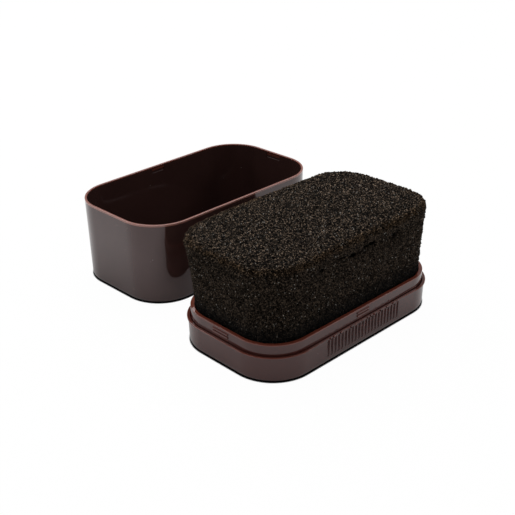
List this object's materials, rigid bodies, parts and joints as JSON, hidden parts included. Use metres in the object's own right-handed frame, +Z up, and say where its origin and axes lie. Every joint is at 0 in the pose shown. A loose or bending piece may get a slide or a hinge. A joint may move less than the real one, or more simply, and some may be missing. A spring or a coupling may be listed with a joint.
{
  "type": "shoe shine sponge",
  "caption": "Oblong foam shoe shine applicator in a shallow grooved tray, its deep clip-on lid taken off and standing open side up behind it.",
  "frame": {"origin": "centre of the base shell's flat underside", "axes": "+Z up, X along the base's long sides, +Y from the base towards the cap standing behind it"},
  "size_m": [0.107, 0.133, 0.0457],
  "materials": {
    "brown_plastic": "glossy moulded",
    "foam": "open-cell foam, oiled",
    "glue": "hot-melt glue",
    "felt": "felt"
  },
  "bodies": {
    "base": {"base_shell": "brown_plastic", "sponge_tray": "brown_plastic", "foam_sponge": "foam", "glue_ring": "glue", "reservoir_pad": "felt"},
    "cap": {"cap": "brown_plastic"}
  },
  "joints": [
    {"name": "cap_lift", "type": "slide", "parent": "base", "child": "cap", "axis": [0, 0, 1], "range_m": [0, 0.08]}
  ]
}
